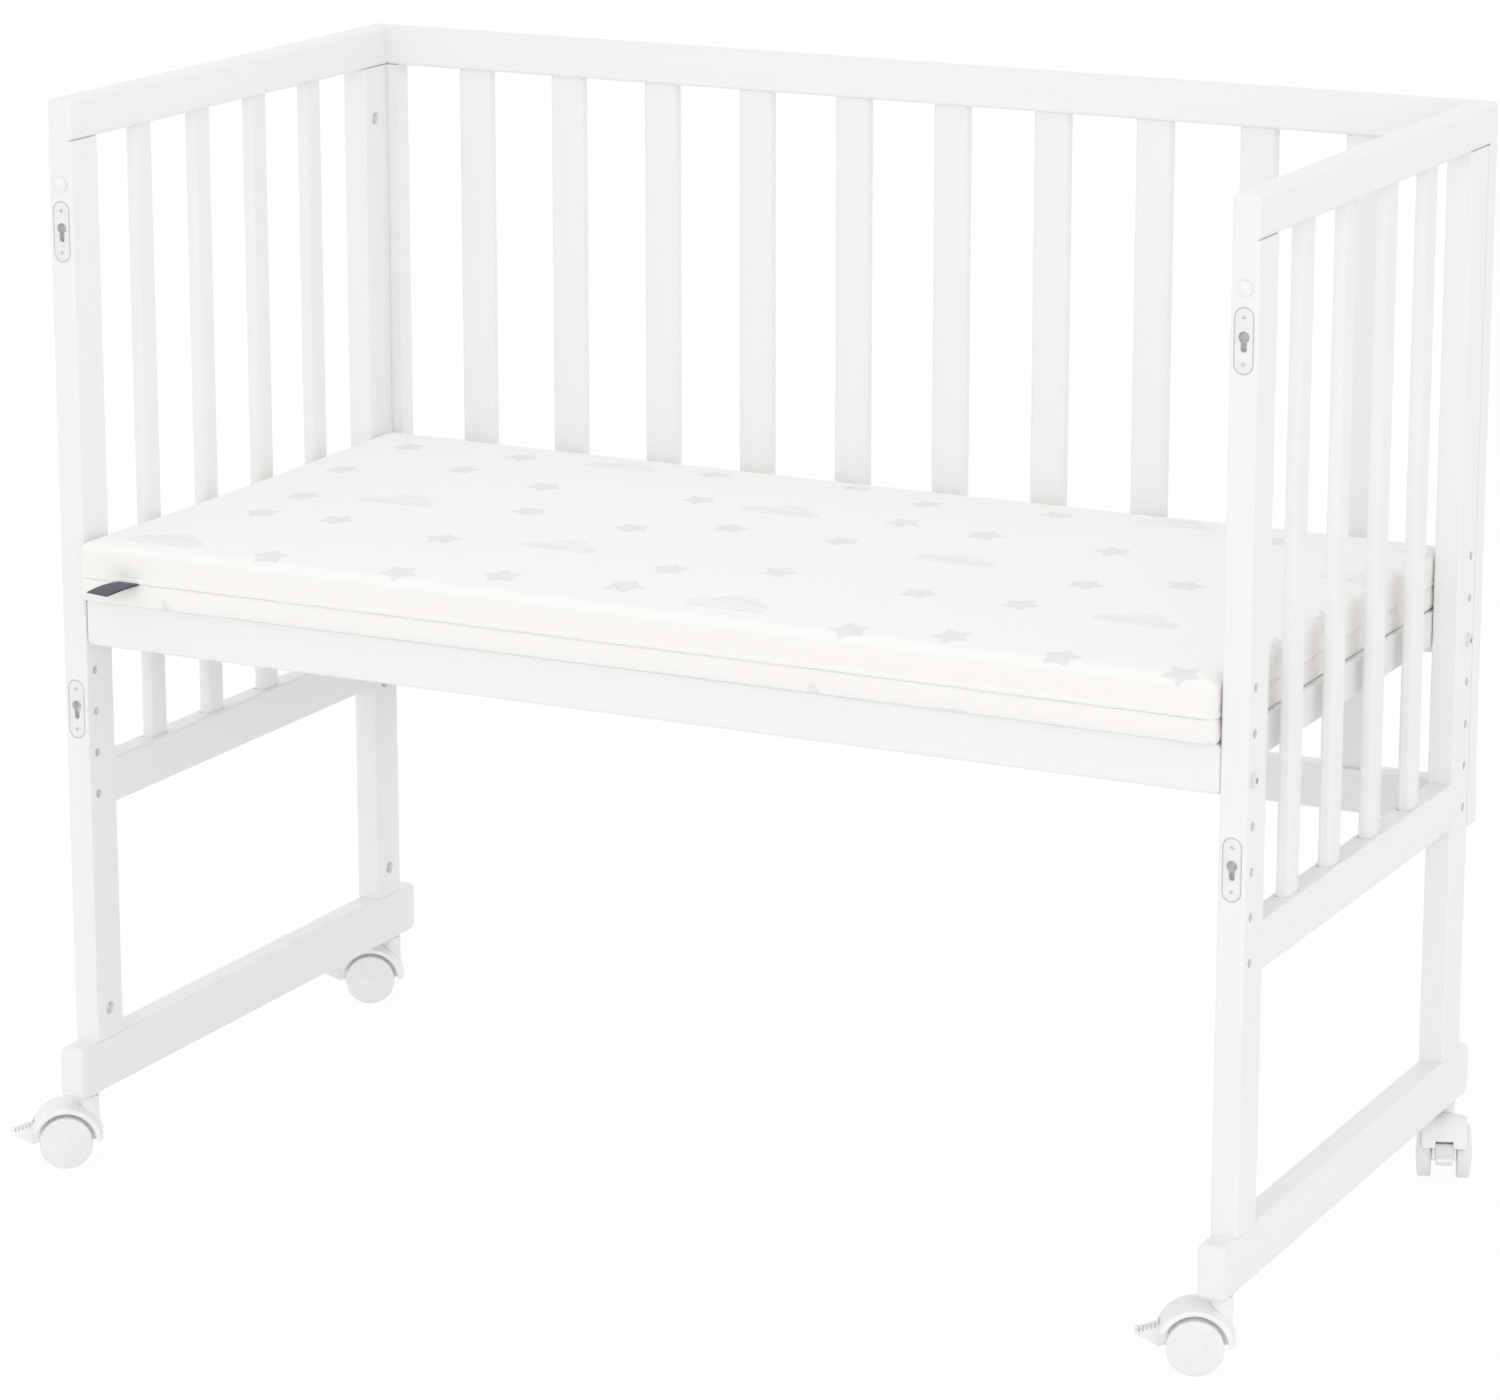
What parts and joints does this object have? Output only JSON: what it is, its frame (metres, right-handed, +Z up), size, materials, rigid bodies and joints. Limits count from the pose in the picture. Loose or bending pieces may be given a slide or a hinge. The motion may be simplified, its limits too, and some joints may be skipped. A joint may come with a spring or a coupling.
{
  "type": "bedside sleeper crib",
  "caption": "Slatted wooden bedside crib with one open side, bolted height-adjustable base, mattress and hooded twin-wheel casters with brakes.",
  "frame": {"origin": "on the floor, under the middle of the frame", "axes": "+X along the crib to the right-hand end panel, +Y from the open long side to the back panel, +Z up"},
  "size_m": [1.01, 0.5127, 0.813],
  "materials": {
    "white_lacquer": "solid hardwood, satin white lacquer",
    "bare_beech": "bare",
    "mattress_cover": "knitted cover, matt",
    "plate_lacquer": "white powder coat",
    "plated_steel": "zinc plated",
    "caster_plastic": "moulded, fine matt",
    "wheel_plastic": "moulded, smooth"
  },
  "bodies": {
    "frame": {"back_bolts": "plated_steel", "back_bottom_rail": "white_lacquer", "back_left_stile": "white_lacquer", "back_nuts": "plated_steel", "back_right_stile": "white_lacquer", "back_slats": "white_lacquer", "back_top_rail": "white_lacquer", "base_front_rail": "white_lacquer", "base_ledgers": "white_lacquer", "base_left_rail": "white_lacquer", "base_rear_rail": "white_lacquer", "base_right_rail": "white_lacquer", "base_slats": "white_lacquer", "foot_bolts": "plated_steel", "foot_nuts": "plated_steel", "gate_buttons": "caster_plastic", "keyhole_plates": "plate_lacquer", "left_foot_rail": "white_lacquer", "left_front_post": "white_lacquer", "left_lower_rail": "white_lacquer", "left_rear_post": "white_lacquer", "left_slats": "white_lacquer", "left_top_rail": "white_lacquer", "level_bolts": "plated_steel", "level_nuts": "plated_steel", "panel_dowels": "bare_beech", "plate_screws": "plated_steel", "right_foot_rail": "white_lacquer", "right_front_post": "white_lacquer", "right_lower_rail": "white_lacquer", "right_rear_post": "white_lacquer", "right_slats": "white_lacquer", "right_top_rail": "white_lacquer", "front_left_caster_stem": "plated_steel", "front_right_caster_stem": "plated_steel", "rear_left_caster_stem": "plated_steel", "rear_right_caster_stem": "plated_steel"},
    "mattress": {"mattress": "mattress_cover"},
    "front_left_swivel": {"front_left_caster_hood": "caster_plastic", "front_left_caster_axle": "plated_steel"},
    "front_left_wheel_a": {"front_left_caster_wheel_a": "wheel_plastic"},
    "front_left_wheel_b": {"front_left_caster_wheel_b": "wheel_plastic"},
    "front_left_brake": {"front_left_caster_brake_pedal": "caster_plastic"},
    "front_right_swivel": {"front_right_caster_hood": "caster_plastic", "front_right_caster_axle": "plated_steel"},
    "front_right_wheel_a": {"front_right_caster_wheel_a": "wheel_plastic"},
    "front_right_wheel_b": {"front_right_caster_wheel_b": "wheel_plastic"},
    "front_right_brake": {"front_right_caster_brake_pedal": "caster_plastic"},
    "rear_left_swivel": {"rear_left_caster_hood": "caster_plastic", "rear_left_caster_axle": "plated_steel"},
    "rear_left_wheel_a": {"rear_left_caster_wheel_a": "wheel_plastic"},
    "rear_left_wheel_b": {"rear_left_caster_wheel_b": "wheel_plastic"},
    "rear_left_brake": {"rear_left_caster_brake_pedal": "caster_plastic"},
    "rear_right_swivel": {"rear_right_caster_hood": "caster_plastic", "rear_right_caster_axle": "plated_steel"},
    "rear_right_wheel_a": {"rear_right_caster_wheel_a": "wheel_plastic"},
    "rear_right_wheel_b": {"rear_right_caster_wheel_b": "wheel_plastic"},
    "rear_right_brake": {"rear_right_caster_brake_pedal": "caster_plastic"}
  },
  "joints": [
    {"name": "mattress_lift", "type": "slide", "parent": "frame", "child": "mattress", "axis": [0, 0, 1], "range_m": [0, 0.42]},
    {"name": "front_left_swivel", "type": "hinge", "parent": "frame", "child": "front_left_swivel", "pos_m": [-0.4625, -0.225, 0.053], "axis": [0, 0, 1], "continuous": true},
    {"name": "front_left_wheel_a", "type": "hinge", "parent": "front_left_swivel", "child": "front_left_wheel_a", "pos_m": [-0.47742, -0.23507, 0.02], "axis": [0.5592, -0.829, 0], "continuous": true},
    {"name": "front_left_wheel_b", "type": "hinge", "parent": "front_left_swivel", "child": "front_left_wheel_b", "pos_m": [-0.47742, -0.23507, 0.02], "axis": [0.5592, -0.829, 0], "continuous": true},
    {"name": "front_left_brake", "type": "hinge", "parent": "front_left_swivel", "child": "front_left_brake", "pos_m": [-0.48622, -0.241, 0.03061], "axis": [0.5592, -0.829, 0], "range_deg": [0, 14]},
    {"name": "front_right_swivel", "type": "hinge", "parent": "frame", "child": "front_right_swivel", "pos_m": [0.4625, -0.225, 0.053], "axis": [0, 0, 1], "continuous": true},
    {"name": "front_right_wheel_a", "type": "hinge", "parent": "front_right_swivel", "child": "front_right_wheel_a", "pos_m": [0.44593, -0.23203, 0.02], "axis": [0.3907, -0.9205, 0], "continuous": true},
    {"name": "front_right_wheel_b", "type": "hinge", "parent": "front_right_swivel", "child": "front_right_wheel_b", "pos_m": [0.44593, -0.23203, 0.02], "axis": [0.3907, -0.9205, 0], "continuous": true},
    {"name": "front_right_brake", "type": "hinge", "parent": "front_right_swivel", "child": "front_right_brake", "pos_m": [0.43617, -0.23618, 0.03061], "axis": [0.3907, -0.9205, 0], "range_deg": [0, 14]},
    {"name": "rear_left_swivel", "type": "hinge", "parent": "frame", "child": "rear_left_swivel", "pos_m": [-0.4625, 0.225, 0.053], "axis": [0, 0, 1], "continuous": true},
    {"name": "rear_left_wheel_a", "type": "hinge", "parent": "rear_left_swivel", "child": "rear_left_wheel_a", "pos_m": [-0.47793, 0.21573, 0.02], "axis": [0.515, -0.8572, 0], "continuous": true},
    {"name": "rear_left_wheel_b", "type": "hinge", "parent": "rear_left_swivel", "child": "rear_left_wheel_b", "pos_m": [-0.47793, 0.21573, 0.02], "axis": [0.515, -0.8572, 0], "continuous": true},
    {"name": "rear_left_brake", "type": "hinge", "parent": "rear_left_swivel", "child": "rear_left_brake", "pos_m": [-0.48702, 0.21027, 0.03061], "axis": [0.515, -0.8572, 0], "range_deg": [0, 14]},
    {"name": "rear_right_swivel", "type": "hinge", "parent": "frame", "child": "rear_right_swivel", "pos_m": [0.4625, 0.225, 0.053], "axis": [0, 0, 1], "continuous": true},
    {"name": "rear_right_wheel_a", "type": "hinge", "parent": "rear_right_swivel", "child": "rear_right_wheel_a", "pos_m": [0.46866, 0.20809, 0.02], "axis": [0.9397, 0.342, 0], "continuous": true},
    {"name": "rear_right_wheel_b", "type": "hinge", "parent": "rear_right_swivel", "child": "rear_right_wheel_b", "pos_m": [0.46866, 0.20809, 0.02], "axis": [0.9397, 0.342, 0], "continuous": true},
    {"name": "rear_right_brake", "type": "hinge", "parent": "rear_right_swivel", "child": "rear_right_brake", "pos_m": [0.47228, 0.19812, 0.03061], "axis": [0.9397, 0.342, 0], "range_deg": [0, 14]}
  ]
}
